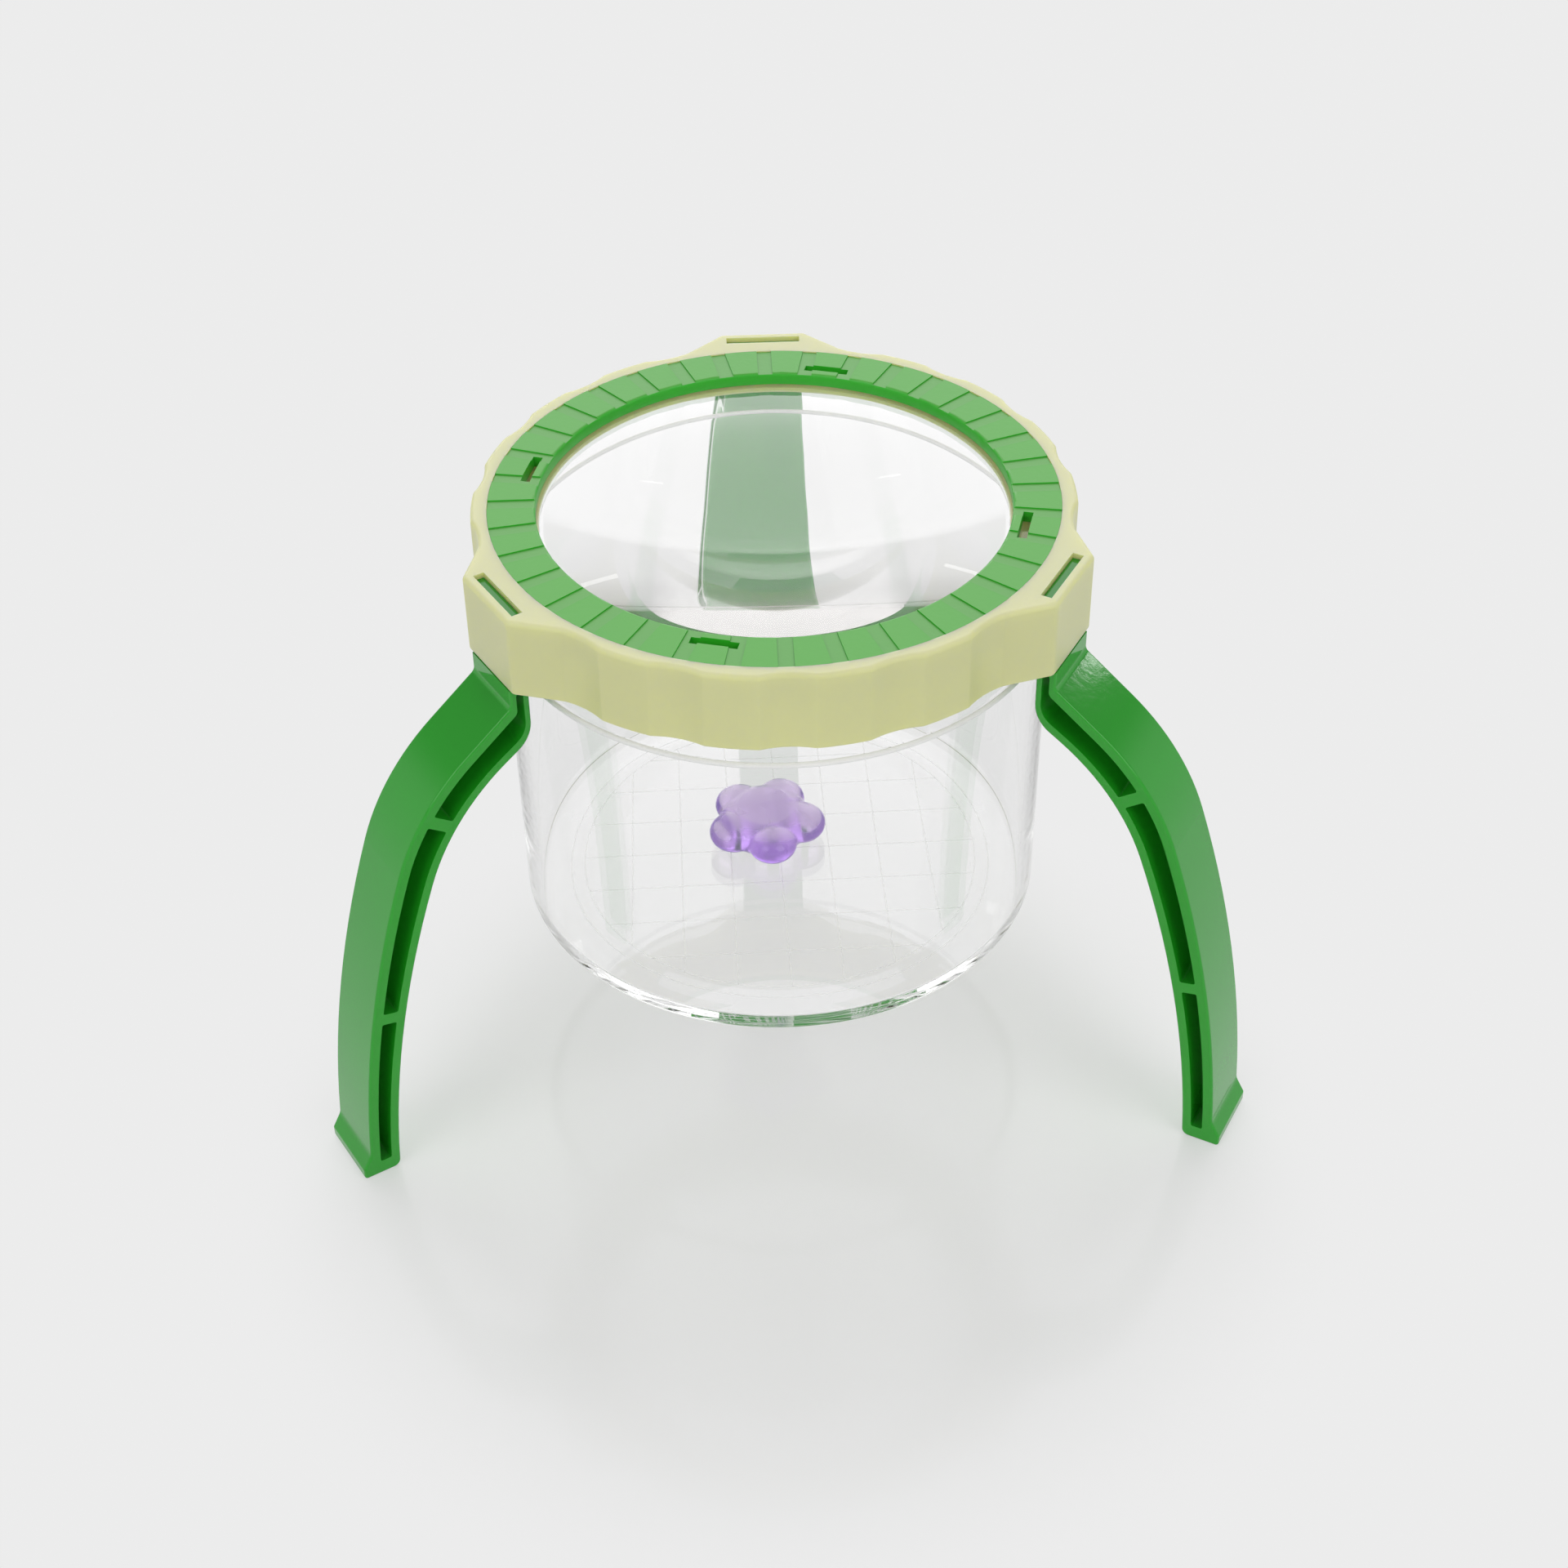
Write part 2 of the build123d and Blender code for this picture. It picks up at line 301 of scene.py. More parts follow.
# %% Soft lamps
LAMP_AIM = Vector((0.0, 0.0, 0.08))
FRONT_LAMP_SPOT = (4.6, -4.6, 5.4)
FRONT_LAMP_SIZE = 5.5
FRONT_LAMP_SHINE = 1.9
GLINT_SHINE = 2.5
GLINT_WIDTH = 0.09
LEFT_GLINT_SPOT = (-0.37, 1.44, 1.41)
LEFT_GLINT_HEIGHT = 0.02
RIGHT_GLINT_SPOT = (0.486, 1.433, 1.378)
RIGHT_GLINT_HEIGHT = 0.015
HIP_GLINT_SPOT = (1.64, 0.79, 0.9)
HIP_GLINT_SIZE = 0.02
HIP_GLINT_SHINE = 22.0


def soft_lamp(name, spot, width, height, shine):
    """An area lamp at spot that faces the jar, with shine as its brightness beside white."""
    data = bpy.data.lights.new(name, "AREA")
    data.shape = "RECTANGLE"
    data.size, data.size_y = width, height
    data.energy = shine * pi * width * height
    lamp = bpy.data.objects.new(name, data)
    lamp.location = spot
    lamp.rotation_euler = (LAMP_AIM - Vector(spot)).to_track_quat("-Z", "Y").to_euler()
    scene.collection.objects.link(lamp)


for side, name in ((-1, "front_left_lamp"), (1, "front_right_lamp")):
    x, y, z = FRONT_LAMP_SPOT
    soft_lamp(name, (side * x, y, z), FRONT_LAMP_SIZE, FRONT_LAMP_SIZE, FRONT_LAMP_SHINE)
soft_lamp("left_glint", LEFT_GLINT_SPOT, GLINT_WIDTH, LEFT_GLINT_HEIGHT, GLINT_SHINE)
soft_lamp("right_glint", RIGHT_GLINT_SPOT, GLINT_WIDTH, RIGHT_GLINT_HEIGHT, GLINT_SHINE)
soft_lamp("hip_glint", HIP_GLINT_SPOT, HIP_GLINT_SIZE, HIP_GLINT_SIZE, HIP_GLINT_SHINE)

# %% [markdown]
# ## Moulded plastic
# Every opaque piece is injection moulded, so all share one node group: a fine mould grain that
# tilts the surface a little, a slow drift of shade and gloss, and a second colour for faces that
# look up, which paints the light on them: a paler painted sheen on the matt tops of the lid and
# the ring, and painted shade on the tops of the legs, darker than their walls. Each finish sets its
# own values. The lid's pale plastic also lets some light through, which makes its edges and its
# slots glow yellow.

# %% Mould grain and painted top light group
WALL_TILT = 0.6
TOP_TILT = 0.95
DRIFT_SCALE = 45.0
DRIFT_DETAIL = 3.0
GRAIN_DETAIL = 2.0


def group_socket(group, name, kind, way, value=None):
    """Add one named socket to a node group's interface."""
    socket = group.interface.new_socket(name=name, in_out=way, socket_type=kind)
    if value is not None:
        socket.default_value = value


def upward_mask(tree, place):
    """How far the surface looks up: 0 on walls, 1 on level tops."""
    split = tree.nodes.new("ShaderNodeSeparateXYZ")
    tree.links.new(place.outputs["Normal"], split.inputs[0])
    ramp = add_node(tree, "ShaderNodeMapRange", From_Min=WALL_TILT, From_Max=TOP_TILT)
    tree.links.new(split.outputs["Z"], ramp.inputs["Value"])
    return ramp.outputs["Result"]


mould = bpy.data.node_groups.new("mould_grain_and_lit_tops", "ShaderNodeTree")
group_socket(mould, "Colour", "NodeSocketColor", "INPUT", (0.5, 0.5, 0.5, 1))
group_socket(mould, "Lit Top Colour", "NodeSocketColor", "INPUT", (0.5, 0.5, 0.5, 1))
group_socket(mould, "Drift", "NodeSocketFloat", "INPUT", 0.06)
group_socket(mould, "Gloss Low", "NodeSocketFloat", "INPUT", 0.25)
group_socket(mould, "Gloss High", "NodeSocketFloat", "INPUT", 0.35)
group_socket(mould, "Grain Scale", "NodeSocketFloat", "INPUT", 900.0)
group_socket(mould, "Grain Height", "NodeSocketFloat", "INPUT", 0.02 * MM)
group_socket(mould, "Shade", "NodeSocketColor", "OUTPUT")
group_socket(mould, "Roughness", "NodeSocketFloat", "OUTPUT")
group_socket(mould, "Normal", "NodeSocketVector", "OUTPUT")
nodes, links = mould.nodes, mould.links
entry, leave = nodes.new("NodeGroupInput"), nodes.new("NodeGroupOutput")
given = entry.outputs
place = nodes.new("ShaderNodeTexCoord")
slow = add_node(mould, "ShaderNodeTexNoise", Scale=DRIFT_SCALE, Detail=DRIFT_DETAIL)
fine = add_node(mould, "ShaderNodeTexNoise", Detail=GRAIN_DETAIL)
links.new(place.outputs["Object"], slow.inputs["Vector"])
links.new(place.outputs["Object"], fine.inputs["Vector"])
links.new(given["Grain Scale"], fine.inputs["Scale"])
# Faces that look up take the top colour, which is painted light on them.
blend = mix_colours(mould, upward_mask(mould, place), given["Colour"], given["Lit Top Colour"])
centred = add_math(mould, "SUBTRACT", slow.outputs["Fac"], 0.5)
swing = add_math(mould, "MULTIPLY", centred, given["Drift"])
tint = nodes.new("ShaderNodeVectorMath")
tint.operation = "SCALE"
links.new(blend, tint.inputs[0])
links.new(add_math(mould, "ADD", swing, 1.0), tint.inputs["Scale"])
links.new(tint.outputs["Vector"], leave.inputs["Shade"])
gloss = nodes.new("ShaderNodeMapRange")
links.new(slow.outputs["Fac"], gloss.inputs["Value"])
links.new(given["Gloss Low"], gloss.inputs["To Min"])
links.new(given["Gloss High"], gloss.inputs["To Max"])
links.new(gloss.outputs["Result"], leave.inputs["Roughness"])
bump = add_node(mould, "ShaderNodeBump", Strength=1.0)
links.new(given["Grain Height"], bump.inputs["Distance"])
links.new(fine.outputs["Fac"], bump.inputs["Height"])
links.new(bump.outputs["Normal"], leave.inputs["Normal"])
print("group", mould.name, [s.name for s in mould.interface.items_tree])

# %% Opaque plastics
PLASTIC_BEND = 1.5
# Walls take the first colour. The top colours are painted light: sheen on the ring and lid, shade on the
# legs.
LEG_GREEN = (0.014, 0.335, 0.014)
LEG_TOP_SHADE_GREEN = (0.011, 0.25, 0.011)
RING_GREEN = (0.03, 0.45, 0.02)
RING_TOP_SHEEN_GREEN = (0.075, 0.38, 0.04)
LID_CREAM = (0.65, 0.66, 0.345)
LID_TOP_SHEEN_CREAM = (0.645, 0.645, 0.375)
SATIN = {"gloss": (0.3, 0.4), "grain": 900.0, "height": 0.02 * MM}


def place_group(tree, group, values):
    """A group node in a material, with its named inputs set."""
    node = tree.nodes.new("ShaderNodeGroup")
    node.node_tree = group
    for socket, value in values.items():
        node.inputs[socket].default_value = value
    return node


def plastic(name, colour, lit_top_colour, drift, gloss, grain, height):
    """Opaque moulded plastic that reads its colour, gloss and grain from the mould group."""
    material, tree, output = new_material(name)
    skin = add_node(tree, "ShaderNodeBsdfPrincipled", IOR=PLASTIC_BEND)
    values = {
        "Colour": (*colour, 1),
        "Lit Top Colour": (*lit_top_colour, 1),
        "Drift": drift,
        "Gloss Low": gloss[0],
        "Gloss High": gloss[1],
        "Grain Scale": grain,
        "Grain Height": height,
    }
    grainy = place_group(tree, mould, values)
    tree.links.new(grainy.outputs["Shade"], skin.inputs["Base Color"])
    tree.links.new(grainy.outputs["Roughness"], skin.inputs["Roughness"])
    tree.links.new(grainy.outputs["Normal"], skin.inputs["Normal"])
    tree.links.new(skin.outputs["BSDF"], output.inputs["Surface"])
    return material


leg_green = plastic(
    "leg_green", LEG_GREEN, LEG_TOP_SHADE_GREEN, drift=0.12, gloss=(0.05, 0.1), grain=700.0, height=0.006 * MM
)
ring_green = plastic("ring_green", RING_GREEN, RING_TOP_SHEEN_GREEN, drift=0.08, **SATIN)
lid_cream = plastic("lid_cream", LID_CREAM, LID_TOP_SHEEN_CREAM, drift=0.05, **SATIN)
print("plastics", leg_green.name, ring_green.name, lid_cream.name)

# %% Light through the lid
LID_GLOW = 0.55
LID_GLOW_DEPTH = 4.5 * MM
LID_GLOW_REACH = (1.0, 0.95, 0.3)
lid_skin = node_of(lid_cream, "BSDF_PRINCIPLED")
lid_skin.inputs["Subsurface Weight"].default_value = LID_GLOW
lid_skin.inputs["Subsurface Scale"].default_value = LID_GLOW_DEPTH
lid_skin.inputs["Subsurface Radius"].default_value = LID_GLOW_REACH
print("light goes into the lid by", LID_GLOW_DEPTH / MM, "mm")

# %% Paler grooves between the ring's tiles
GROOVE_GREEN = (0.1, 0.36, 0.065)
GROOVE_FLOOR = 85.6 * MM
TILE_TOP = 85.9 * MM
tree = ring_green.node_tree
place = tree.nodes.new("ShaderNodeTexCoord")
split = tree.nodes.new("ShaderNodeSeparateXYZ")
tree.links.new(place.outputs["Object"], split.inputs[0])
rise = add_node(tree, "ShaderNodeMapRange", From_Min=GROOVE_FLOOR, From_Max=TILE_TOP)
tree.links.new(split.outputs["Z"], rise.inputs["Value"])
shades = mix_colours(tree, rise.outputs["Result"], (*GROOVE_GREEN, 1), (*RING_TOP_SHEEN_GREEN, 1))
tree.links.new(shades, node_of(ring_green, "GROUP").inputs["Lit Top Colour"])
print("grooves", GROOVE_GREEN, "tiles", RING_TOP_SHEEN_GREEN)

# %% [markdown]
# ## Clear plastic
# The cup, the lens and the flower are solid clear castings, so they are real glass to the light:
# closed walls with an index of refraction. Mouldings are never optically flat, so a second group
# gives them slow waves, and the flower some haze, most on faces that look up. Depth dyes the lens a
# trace of grey and the flower purple.
# Shadow rays go straight through, because a clear cup lets the lamps' light reach the table.

# %% Clear skin group
WAVE_DETAIL = 1.0
clear_skin = bpy.data.node_groups.new("clear_skin", "ShaderNodeTree")
group_socket(clear_skin, "Haze", "NodeSocketFloat", "INPUT", 0.01)
group_socket(clear_skin, "Top Haze", "NodeSocketFloat", "INPUT", 0.01)
group_socket(clear_skin, "Wave Scale", "NodeSocketFloat", "INPUT", 40.0)
group_socket(clear_skin, "Wave Height", "NodeSocketFloat", "INPUT", 0.03 * MM)
group_socket(clear_skin, "Roughness", "NodeSocketFloat", "OUTPUT")
group_socket(clear_skin, "Normal", "NodeSocketVector", "OUTPUT")
nodes, links = clear_skin.nodes, clear_skin.links
entry, leave = nodes.new("NodeGroupInput"), nodes.new("NodeGroupOutput")
given = entry.outputs
place = nodes.new("ShaderNodeTexCoord")
waves = add_node(clear_skin, "ShaderNodeTexNoise", Detail=WAVE_DETAIL)
links.new(place.outputs["Object"], waves.inputs["Vector"])
links.new(given["Wave Scale"], waves.inputs["Scale"])
haze = nodes.new("ShaderNodeMapRange")
links.new(upward_mask(clear_skin, place), haze.inputs["Value"])
links.new(given["Haze"], haze.inputs["To Min"])
links.new(given["Top Haze"], haze.inputs["To Max"])
uneven = add_math(clear_skin, "MULTIPLY", haze.outputs["Result"], waves.outputs["Fac"])
links.new(uneven, leave.inputs["Roughness"])
bump = add_node(clear_skin, "ShaderNodeBump", Strength=1.0)
links.new(given["Wave Height"], bump.inputs["Distance"])
links.new(waves.outputs["Fac"], bump.inputs["Height"])
links.new(bump.outputs["Normal"], leave.inputs["Normal"])
print("group", clear_skin.name, [s.name for s in clear_skin.interface.items_tree])

# %% Clear plastics
CLEAR_BEND = 1.49
CLEAR_TINT = (0.99, 0.99, 0.99)
LENS_DYE = ((0.16, 0.14, 0.12), 10.0)
GEM_TINT = (0.96, 0.94, 0.98)
GEM_HAZE = (0.05, 0.6)
GEM_DYE = ((0.45, 0.02, 0.8), 70.0)


def clear_plastic(name, tint, wave_scale, wave_height, haze=None, dye=None):
    """Clear plastic that bends light, with haze on its walls and tops, and dye that depth brings out."""
    material, tree, output = new_material(name)
    skin = add_node(
        tree,
        "ShaderNodeBsdfPrincipled",
        Base_Color=(*tint, 1),
        Roughness=0.0,
        IOR=CLEAR_BEND,
        Transmission_Weight=1.0,
    )
    surface = place_group(tree, clear_skin, {"Wave Scale": wave_scale, "Wave Height": wave_height})
    tree.links.new(surface.outputs["Normal"], skin.inputs["Normal"])
    if haze:
        surface.inputs["Haze"].default_value, surface.inputs["Top Haze"].default_value = haze
        tree.links.new(surface.outputs["Roughness"], skin.inputs["Roughness"])
    open_way = add_node(tree, "ShaderNodeBsdfTransparent", Color=(*tint, 1))
    rays = tree.nodes.new("ShaderNodeLightPath").outputs
    lighting = add_math(tree, "MAXIMUM", rays["Is Shadow Ray"], rays["Is Diffuse Ray"])
    mixed = mix_shaders(tree, lighting, skin.outputs[0], open_way.outputs[0])
    tree.links.new(mixed, output.inputs["Surface"])
    if dye:
        colour, density = dye
        depth = add_node(tree, "ShaderNodeVolumeAbsorption", Color=(*colour, 1), Density=density)
        tree.links.new(depth.outputs[0], output.inputs["Volume"])
    return material


cup_clear = clear_plastic("cup_clear", CLEAR_TINT, wave_scale=25.0, wave_height=0.004 * MM)
lens_clear = clear_plastic(
    "lens_clear", CLEAR_TINT, wave_scale=40.0, wave_height=0.03 * MM, dye=LENS_DYE
)
gem_purple = clear_plastic(
    "gem_purple", GEM_TINT, wave_scale=160.0, wave_height=0.03 * MM, haze=GEM_HAZE, dye=GEM_DYE
)
print("clear plastics", [m.name for m in (cup_clear, lens_clear, gem_purple)])

# %% Frosted plastics, and the white skin of the bead's painted highlight
FROST_AND_HIGHLIGHT_WHITE = (0.96, 0.96, 0.96)
GRID_COVER = 0.25
BEAD_HIGHLIGHT_COVER = 0.72
FROST = {"drift": 0.1, "gloss": (0.5, 0.6), "grain": 2000.0, "height": 0.01 * MM}


def white_frost_and_highlight(name, cover):
    """Clear plastic with a white skin that whitens what is behind it by its cover:
    matt lines on the grid, a painted highlight on the bead.
    """
    material = plastic(name, FROST_AND_HIGHLIGHT_WHITE, FROST_AND_HIGHLIGHT_WHITE, **FROST)
    node_of(material, "BSDF_PRINCIPLED").inputs["Alpha"].default_value = cover
    return material


grid_frost = white_frost_and_highlight("grid_frost", GRID_COVER)
# The bead's white skin is a painted highlight, since the real bead is clear.
bead_highlight_white = white_frost_and_highlight("bead_highlight_white", BEAD_HIGHLIGHT_COVER)
print("white_frost_and_highlight", grid_frost.name, bead_highlight_white.name)

# %% [markdown]
# ## Finishes on the CAD nodes
# The lid ring and the legs are already the right shapes in the CAD model, with their scallops,
# pockets and rounded edges, so they keep their meshes and get finishes. The other nodes get the
# finish of the finer piece that takes their place below.

# %% Dress the CAD nodes
FINISHES = {
    "collar": lid_cream,
    "bezel_ring": ring_green,
    "leg_rear": leg_green,
    "leg_left": leg_green,
    "leg_right": leg_green,
    "jar": cup_clear,
    "lens": lens_clear,
    "flower": gem_purple,
}
for node, material in FINISHES.items():
    bpy.data.objects[node].material_slots[0].material = material
print("dressed", sorted(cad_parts))

# %% [markdown]
# ## Turned clear pieces
# Clear walls show every facet, so the cup and the lens are turned again as fine, smooth solids on
# the CAD model's own radii and heights. An outline of corners with a round at each is spun about
# the axis. A short run beside each round keeps the long walls' shading straight.
# The bead under the lid is a ring of its own on the clear wall, and its white skin is a painted
# highlight: the real bead is clear and shines white only in the light.

# %% Lathe helpers
SPIN_STEPS = 640
ROUND_STEPS = 8
RUN_GUARD = 0.12


def rounded(corners):
    """Points along an outline of (radius, height, round) corners in mm, rounds drawn as arcs."""
    points = [Vector(corners[0][:2])]
    for before, corner, after in zip(corners, corners[1:], corners[2:]):
        here = Vector(corner[:2])
        back = (Vector(before[:2]) - here).normalized()
        onward = (Vector(after[:2]) - here).normalized()
        half_angle = back.angle(onward) / 2
        reach = corner[2] / tan(half_angle)
        middle = here + (back + onward).normalized() * corner[2] / sin(half_angle)
        arms = [here + way * reach - middle for way in (back, onward)]
        first, last = (atan2(arm.y, arm.x) for arm in arms)
        sweep = (last - first + pi) % (2 * pi) - pi
        points.append(here + back * (reach + RUN_GUARD))
        for k in range(ROUND_STEPS + 1):
            angle = first + sweep * k / ROUND_STEPS
            points.append(middle + corner[2] * Vector((cos(angle), sin(angle))))
        points.append(here + onward * (reach + RUN_GUARD))
    return points + [Vector(corners[-1][:2])]


def turn(name, outline, material):
    """Spin an outline in mm into a closed smooth mesh. Off the axis, its ends are joined."""
    on_axis = outline[0].x == 0
    inner = outline[1:-1] if on_axis else outline
    verts = [(0, 0, end.y * MM) for end in (outline[0], outline[-1])] if on_axis else []
    first, count = len(verts), len(inner)
    runs = count - 1 if on_axis else count
    faces = []
    for k in range(SPIN_STEPS):
        angle = 2 * pi * k / SPIN_STEPS
        verts += [(p.x * cos(angle) * MM, p.x * sin(angle) * MM, p.y * MM) for p in inner]
        here, there = first + k * count, first + (k + 1) % SPIN_STEPS * count
        for i in range(runs):
            j = (i + 1) % count
            faces.append((here + i, there + i, there + j, here + j))
        if on_axis:
            faces += [(0, there, here), (1, here + count - 1, there + count - 1)]
    mesh = bpy.data.meshes.new(name)
    mesh.from_pydata(verts, [], faces)
    mesh.shade_smooth()
    mesh.materials.append(material)
    piece = bpy.data.objects.new(name, mesh)
    scene.collection.objects.link(piece)
    print(name, len(mesh.polygons), "faces")
    return piece


print("lathe turns in", SPIN_STEPS, "steps")

# %% Turned cup
CUP_HEIGHT = 80.0
NECK_RADIUS = 51.4
NECK_BORE = 49.5
HEEL_RADIUS = 51.0
FLOOR_BORE = 48.7
FLOOR_EDGE = 2.0
FLOOR_TOP = 2.4
UNDERSIDE = 0.35
FOOT_STEP_INNER = 41.0
FOOT_STEP_OUTER = 45.0
FOOT_STEP_ROUND = 6.0
HEEL_ROUND = 0.7
RIM_ROUND = 0.4
NECK_ROUND = 4.0
FLOOR_ROUND = 0.45
BEAD_HEIGHT = 64.0
cup_outline = rounded([
    (0.0, UNDERSIDE, 0.0),
    (FOOT_STEP_INNER, UNDERSIDE, FOOT_STEP_ROUND),
    (FOOT_STEP_OUTER, 0.0, FOOT_STEP_ROUND),
    (HEEL_RADIUS, 0.0, HEEL_ROUND),
    (NECK_RADIUS, BEAD_HEIGHT, NECK_ROUND),
    (NECK_RADIUS, CUP_HEIGHT, RIM_ROUND),
    (NECK_BORE, CUP_HEIGHT, RIM_ROUND),
    (NECK_BORE, BEAD_HEIGHT, NECK_ROUND),
    (FLOOR_BORE, FLOOR_EDGE, FLOOR_ROUND),
    (0.0, FLOOR_TOP, 0.0),
])
turned_cup = turn("turned_cup", cup_outline, cup_clear)
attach(turned_cup, "jar")
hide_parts("jar")

# %% Bead round the cup, white with a painted highlight
BEAD_RADIUS = 0.6
BEAD_GAP = 0.02
BEAD_STEPS = 12
bead_outline = []
for k in range(BEAD_STEPS + 1):
    angle = pi * (k / BEAD_STEPS - 0.5)
    out, up = BEAD_RADIUS * cos(angle), BEAD_RADIUS * sin(angle)
    bead_outline.append(Vector((NECK_RADIUS + BEAD_GAP + out, BEAD_HEIGHT + up)))
matt_bead = turn("matt_bead", bead_outline, bead_highlight_white)
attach(matt_bead, "jar")

# %% Turned lens
DOME_RADIUS = 42.9
DOME_RISE = 3.0
DOME_STEPS = 50
DOME_RUN = 0.1
LENS_TOP = 83.5
LENS_BOTTOM = 81.5
LENS_RIM = 52.1
LENS_ROUND = 0.2
sphere = (DOME_RADIUS**2 + DOME_RISE**2) / (2 * DOME_RISE)
sunk = sqrt(sphere**2 - DOME_RADIUS**2)


def lens_face(base, way):
    """Points in mm along a domed face, from the middle to the flat rim at base height."""
    points = []
    for k in range(DOME_STEPS):
        out = DOME_RADIUS * k / DOME_STEPS
        points.append(Vector((out, base + way * (sqrt(sphere**2 - out**2) - sunk))))
    return points + [Vector((DOME_RADIUS, base)), Vector((DOME_RADIUS + DOME_RUN, base))]


belly = lens_face(LENS_BOTTOM, -1)
crown = lens_face(LENS_TOP, 1)
rim = rounded([
    (DOME_RADIUS, LENS_BOTTOM, 0.0),
    (LENS_RIM, LENS_BOTTOM, LENS_ROUND),
    (LENS_RIM, LENS_TOP, LENS_ROUND),
    (DOME_RADIUS, LENS_TOP, 0.0),
])[1:-1]
turned_lens = turn("turned_lens", belly + rim + crown[::-1], lens_clear)
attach(turned_lens, "lid")
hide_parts("lens")

# %% [markdown]
# ## Ring with softened tiles
# The ring's tiles and windows come out of a mould with slightly soft edges, and those edges catch
# the light. A merged copy of the CAD mesh gets a fine bevel along every sharp edge, slightly
# shallower grooves, and a rim that fills the lid's seat, where the CAD model leaves room for assembly.

# %% Softened ring
EDGE_SOFTNESS = 0.15 * MM
SOFT_GROOVE = 85.64 * MM
RING_RIM = 52.1 * MM
SEATED_RIM = 52.36 * MM
MERGE_REACH = 0.002 * MM
NEAR_ENOUGH = 0.01 * MM
FLAT_ANGLE = radians(0.5)
SHARP_ANGLE = radians(50)
soft_mesh = bpy.data.objects["bezel_ring"].data.copy()
soft_mesh.name = "tiled_ring"
shape = bmesh.new()
shape.from_mesh(soft_mesh)
bmesh.ops.remove_doubles(shape, verts=shape.verts, dist=MERGE_REACH)
for vert in shape.verts:
    if abs(vert.co.z - GROOVE_FLOOR) < NEAR_ENOUGH:
        vert.co.z = SOFT_GROOVE
    if vert.co.xy.length > RING_RIM - NEAR_ENOUGH:
        vert.co.xy *= SEATED_RIM / vert.co.xy.length
bmesh.ops.dissolve_limit(shape, angle_limit=FLAT_ANGLE, verts=shape.verts, edges=shape.edges)
sharp = [e for e in shape.edges if len(e.link_faces) == 2 and e.calc_face_angle() > SHARP_ANGLE]
bmesh.ops.bevel(
    shape,
    geom=sharp,
    offset=EDGE_SOFTNESS,
    offset_type="OFFSET",
    segments=2,
    profile=0.5,
    affect="EDGES",
    clamp_overlap=True,
)
shape.to_mesh(soft_mesh)
shape.free()
tiled_ring = bpy.data.objects.new("tiled_ring", soft_mesh)
scene.collection.objects.link(tiled_ring)
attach(tiled_ring, "lid")
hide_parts("bezel_ring")
print("ring edges softened", len(sharp))

# %% [markdown]
# ## Helpers for Geometry Nodes
# A tree of nodes makes what repeats by a rule. Each tree has its sizes as named inputs, and one
# helper runs it on an empty mesh, adds finishing modifiers and keeps the result as a plain mesh.

# %% Geometry Nodes helpers


def new_tree(name, sizes):
    """A Geometry Nodes tree with the named sizes as inputs, and its two end nodes."""
    tree = bpy.data.node_groups.new(name, "GeometryNodeTree")
    group_socket(tree, "Geometry", "NodeSocketGeometry", "INPUT")
    for label, value in sizes.items():
        kind = "NodeSocketInt" if isinstance(value, int) else "NodeSocketFloat"
        group_socket(tree, label, kind, "INPUT", value)
    group_socket(tree, "Geometry", "NodeSocketGeometry", "OUTPUT")
    return tree, tree.nodes.new("NodeGroupInput"), tree.nodes.new("NodeGroupOutput")


def spread(tree, **parts):
    """A vector made of the parts given for X, Y and Z, each a number or a node's output."""
    node = tree.nodes.new("ShaderNodeCombineXYZ")
    for axis, value in parts.items():
        feed(tree, value, node.inputs[axis])
    return node.outputs[0]


def join(tree, *sources):
    """Several geometries joined into one."""
    node = tree.nodes.new("GeometryNodeJoinGeometry")
    for source in sources:
        tree.links.new(source, node.inputs[0])
    return node.outputs[0]


def close_tree(tree, source, leave, material):
    """End a tree: make its copies real, give them their finish and pass them out."""
    real = tree.nodes.new("GeometryNodeRealizeInstances")
    finish = tree.nodes.new("GeometryNodeSetMaterial")
    finish.inputs["Material"].default_value = material
    tree.links.new(source, real.inputs[0])
    tree.links.new(real.outputs[0], finish.inputs["Geometry"])
    tree.links.new(finish.outputs[0], leave.inputs[0])


def grow(name, tree, sizes, finishing=()):
    """Run a tree with these sizes and the finishing modifiers, and return a plain mesh object."""
    seed = bpy.data.objects.new(name + "_seed", bpy.data.meshes.new(name + "_seed"))
    scene.collection.objects.link(seed)
    modifier = seed.modifiers.new("rule", "NODES")
    modifier.node_group = tree
    for socket in tree.interface.items_tree:
        if socket.in_out == "INPUT" and socket.name in sizes:
            modifier[socket.identifier] = sizes[socket.name]
    for kind, settings in finishing:
        step = seed.modifiers.new(kind.lower(), kind)
        for key, value in settings.items():
            setattr(step, key, value)
    graph = bpy.context.evaluated_depsgraph_get()
    mesh = bpy.data.meshes.new_from_object(seed.evaluated_get(graph))
    bpy.data.objects.remove(seed)
    mesh.name = name
    piece = bpy.data.objects.new(name, mesh)
    scene.collection.objects.link(piece)
    print(name, len(mesh.polygons), "faces")
    return piece


print("helpers ready")

# %% [markdown]
# ## Measuring grid
# Fine lines on a 10 mm pitch are moulded under the cup's floor, cut off by a circle, with a
# second circle just inside the foot ring. A row of straight curves is made and scaled to the
# circle's chords, turned by a right angle for the other way, and swept with a flat profile.

